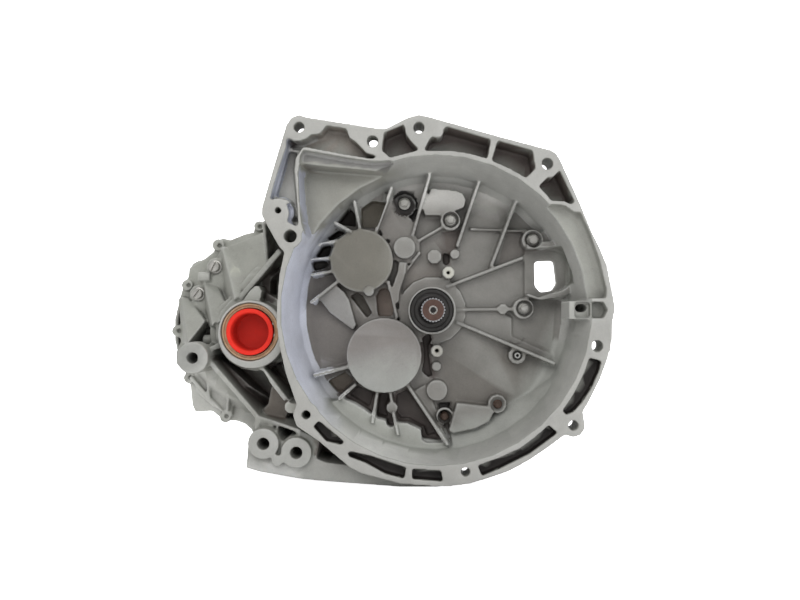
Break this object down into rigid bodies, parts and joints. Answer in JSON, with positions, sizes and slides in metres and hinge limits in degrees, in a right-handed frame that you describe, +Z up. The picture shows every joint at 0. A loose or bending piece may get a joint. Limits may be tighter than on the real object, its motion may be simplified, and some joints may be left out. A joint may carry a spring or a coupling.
{
  "type": "manual transmission",
  "caption": "Six-speed transverse manual transmission: bell-shaped clutch housing, gear case, three gear shafts, differential, synchroniser sleeves, forks and selector.",
  "frame": {"origin": "centre of the input shaft's front end, in the plane of the engine face", "axes": "+Y runs from the engine face into the gearbox along the input shaft, +Z is up, +X is to the right seen from the engine"},
  "size_m": [0.487, 0.355, 0.3786],
  "materials": {
    "cast_aluminium": "shot-blasted casting",
    "gear_steel": "ground",
    "bearing_steel": "polished",
    "bolt_steel": "zinc, dulled",
    "seal_rubber": "matt",
    "seal_brown": "brown, oiled",
    "red_plastic": "moulded",
    "fork_alloy": "cast"
  },
  "bodies": {
    "housing": {"clutch_housing": "cast_aluminium", "gear_case": "cast_aluminium", "end_cover": "cast_aluminium", "input_shaft_seal": "seal_rubber", "differential_seal_front": "seal_brown", "transport_plug": "red_plastic", "inner_bolt_right": "bolt_steel", "inner_bolt_top": "bolt_steel", "inner_bolt_window": "bolt_steel", "inner_bolt_corner": "bolt_steel", "inner_bolt_bottom": "bolt_steel", "inner_bolt_lower_right": "bolt_steel", "case_bolt_upper": "bolt_steel", "case_bolt_lower": "bolt_steel", "cover_bolt_upper": "bolt_steel", "cover_bolt_lower": "bolt_steel", "input_bearing_front": "bearing_steel", "input_bearing_rear": "bearing_steel", "lower_bearing_front": "bearing_steel", "lower_bearing_rear": "bearing_steel", "upper_bearing_front": "bearing_steel", "upper_bearing_rear": "bearing_steel", "differential_bearing_front": "bearing_steel", "differential_bearing_rear": "bearing_steel", "breather": "bolt_steel", "reverse_switch": "fork_alloy", "drain_plug": "bolt_steel", "idler_shaft": "gear_steel", "fork_rail_upper": "gear_steel", "fork_rail_lower": "gear_steel", "selector_turret": "cast_aluminium"},
    "input_shaft": {"input_shaft": "gear_steel"},
    "lower_output_shaft": {"lower_output_shaft": "gear_steel"},
    "upper_output_shaft": {"upper_output_shaft": "gear_steel"},
    "differential": {"differential_case": "gear_steel", "differential_pin": "gear_steel", "ring_gear": "gear_steel"},
    "side_gear_front": {"side_gear_front": "gear_steel"},
    "side_gear_rear": {"side_gear_rear": "gear_steel"},
    "planet_gear_inner": {"planet_gear_inner": "gear_steel"},
    "planet_gear_outer": {"planet_gear_outer": "gear_steel"},
    "reverse_idler": {"reverse_idler": "gear_steel"},
    "selector_shaft": {"selector_shaft": "gear_steel"},
    "shift_levers": {"shift_lever": "gear_steel", "shift_finger": "gear_steel"},
    "first_gear": {"first_gear": "gear_steel"},
    "second_gear": {"second_gear": "gear_steel"},
    "third_gear": {"third_gear": "gear_steel"},
    "fourth_gear": {"fourth_gear": "gear_steel"},
    "fifth_gear": {"fifth_gear": "gear_steel"},
    "sixth_gear": {"sixth_gear": "gear_steel"},
    "reverse_gear": {"reverse_gear": "gear_steel"},
    "sleeve_first_second": {"sleeve_first_second": "gear_steel"},
    "fork_first_second": {"fork_first_second": "fork_alloy"},
    "sleeve_fifth_sixth": {"sleeve_fifth_sixth": "gear_steel"},
    "fork_fifth_sixth": {"fork_fifth_sixth": "fork_alloy"},
    "sleeve_third_fourth": {"sleeve_third_fourth": "gear_steel"},
    "fork_third_fourth": {"fork_third_fourth": "fork_alloy"},
    "sleeve_reverse": {"sleeve_reverse": "gear_steel"},
    "fork_reverse": {"fork_reverse": "fork_alloy"}
  },
  "joints": [
    {"name": "input_spin", "type": "hinge", "parent": "housing", "child": "input_shaft", "pos_m": [0, 0, 0], "axis": [0, 1, 0], "continuous": true},
    {"name": "differential_spin", "type": "hinge", "parent": "housing", "child": "differential", "pos_m": [-0.19066, 0, -0.0226], "axis": [0, 1, 0], "continuous": true},
    {"name": "lower_output_spin", "type": "hinge", "parent": "housing", "child": "lower_output_shaft", "pos_m": [-0.05116, 0, -0.04778], "axis": [0, 1, 0], "continuous": true},
    {"name": "upper_output_spin", "type": "hinge", "parent": "housing", "child": "upper_output_shaft", "pos_m": [-0.07549, 0, 0.05389], "axis": [0, 1, 0], "continuous": true},
    {"name": "first_gear_spin", "type": "hinge", "parent": "housing", "child": "first_gear", "pos_m": [-0.05116, 0, -0.04778], "axis": [0, 1, 0], "continuous": true},
    {"name": "second_gear_spin", "type": "hinge", "parent": "housing", "child": "second_gear", "pos_m": [-0.05116, 0, -0.04778], "axis": [0, 1, 0], "continuous": true},
    {"name": "fifth_gear_spin", "type": "hinge", "parent": "housing", "child": "fifth_gear", "pos_m": [-0.05116, 0, -0.04778], "axis": [0, 1, 0], "continuous": true},
    {"name": "sixth_gear_spin", "type": "hinge", "parent": "housing", "child": "sixth_gear", "pos_m": [-0.05116, 0, -0.04778], "axis": [0, 1, 0], "continuous": true},
    {"name": "third_gear_spin", "type": "hinge", "parent": "housing", "child": "third_gear", "pos_m": [-0.07549, 0, 0.05389], "axis": [0, 1, 0], "continuous": true},
    {"name": "fourth_gear_spin", "type": "hinge", "parent": "housing", "child": "fourth_gear", "pos_m": [-0.07549, 0, 0.05389], "axis": [0, 1, 0], "continuous": true},
    {"name": "reverse_gear_spin", "type": "hinge", "parent": "housing", "child": "reverse_gear", "pos_m": [-0.07549, 0, 0.05389], "axis": [0, 1, 0], "continuous": true},
    {"name": "reverse_idler_spin", "type": "hinge", "parent": "housing", "child": "reverse_idler", "pos_m": [-0.0004, 0, 0.049], "axis": [0, 1, 0], "continuous": true},
    {"name": "side_gear_front_spin", "type": "hinge", "parent": "differential", "child": "side_gear_front", "pos_m": [-0.19066, 0, -0.0226], "axis": [0, 1, 0], "continuous": true},
    {"name": "side_gear_rear_spin", "type": "hinge", "parent": "differential", "child": "side_gear_rear", "pos_m": [-0.19066, 0, -0.0226], "axis": [0, 1, 0], "continuous": true},
    {"name": "planet_gear_inner_spin", "type": "hinge", "parent": "differential", "child": "planet_gear_inner", "pos_m": [-0.19066, 0.144, -0.0226], "axis": [1, 0, 0], "continuous": true},
    {"name": "planet_gear_outer_spin", "type": "hinge", "parent": "differential", "child": "planet_gear_outer", "pos_m": [-0.19066, 0.144, -0.0226], "axis": [1, 0, 0], "continuous": true},
    {"name": "fork_first_second_slide", "type": "slide", "parent": "housing", "child": "fork_first_second", "axis": [0, 1, 0], "range_m": [-0.0085, 0.0085]},
    {"name": "sleeve_first_second_slide", "type": "slide", "parent": "lower_output_shaft", "child": "sleeve_first_second", "axis": [0, 1, 0], "range_m": [-0.0085, 0.0085]},
    {"name": "fork_fifth_sixth_slide", "type": "slide", "parent": "housing", "child": "fork_fifth_sixth", "axis": [0, 1, 0], "range_m": [-0.0085, 0.0085]},
    {"name": "sleeve_fifth_sixth_slide", "type": "slide", "parent": "lower_output_shaft", "child": "sleeve_fifth_sixth", "axis": [0, 1, 0], "range_m": [-0.0085, 0.0085]},
    {"name": "fork_third_fourth_slide", "type": "slide", "parent": "housing", "child": "fork_third_fourth", "axis": [0, 1, 0], "range_m": [-0.0085, 0.0085]},
    {"name": "sleeve_third_fourth_slide", "type": "slide", "parent": "upper_output_shaft", "child": "sleeve_third_fourth", "axis": [0, 1, 0], "range_m": [-0.0085, 0.0085]},
    {"name": "fork_reverse_slide", "type": "slide", "parent": "housing", "child": "fork_reverse", "axis": [0, 1, 0], "range_m": [-0.0085, 0]},
    {"name": "sleeve_reverse_slide", "type": "slide", "parent": "upper_output_shaft", "child": "sleeve_reverse", "axis": [0, 1, 0], "range_m": [-0.0085, 0]},
    {"name": "selector_select", "type": "slide", "parent": "housing", "child": "selector_shaft", "axis": [0, 0, 1], "range_m": [-0.008, 0.008], "stiffness_N_per_m": 3000},
    {"name": "selector_shift", "type": "hinge", "parent": "selector_shaft", "child": "shift_levers", "pos_m": [-0.113, 0.219, 0], "axis": [0, 0, 1], "range_deg": [-15, 15]}
  ],
  "couplings": [
    {"joint": "lower_output_spin", "follows": "differential_spin", "ratio": -2.8571},
    {"joint": "upper_output_spin", "follows": "differential_spin", "ratio": -3.1579},
    {"joint": "first_gear_spin", "follows": "input_spin", "ratio": -0.33333},
    {"joint": "second_gear_spin", "follows": "input_spin", "ratio": -0.53846},
    {"joint": "fifth_gear_spin", "follows": "input_spin", "ratio": -1.1053},
    {"joint": "sixth_gear_spin", "follows": "input_spin", "ratio": -1.3529},
    {"joint": "third_gear_spin", "follows": "input_spin", "ratio": -0.65625},
    {"joint": "fourth_gear_spin", "follows": "input_spin", "ratio": -0.76667},
    {"joint": "reverse_gear_spin", "follows": "input_spin", "ratio": 0.4},
    {"joint": "reverse_idler_spin", "follows": "input_spin", "ratio": -0.55556},
    {"joint": "side_gear_rear_spin", "follows": "side_gear_front_spin", "ratio": -1},
    {"joint": "planet_gear_inner_spin", "follows": "side_gear_front_spin", "ratio": 2},
    {"joint": "planet_gear_outer_spin", "follows": "side_gear_front_spin", "ratio": -2},
    {"joint": "sleeve_first_second_slide", "follows": "fork_first_second_slide", "ratio": 1},
    {"joint": "sleeve_fifth_sixth_slide", "follows": "fork_fifth_sixth_slide", "ratio": 1},
    {"joint": "sleeve_third_fourth_slide", "follows": "fork_third_fourth_slide", "ratio": 1},
    {"joint": "sleeve_reverse_slide", "follows": "fork_reverse_slide", "ratio": 1}
  ]
}
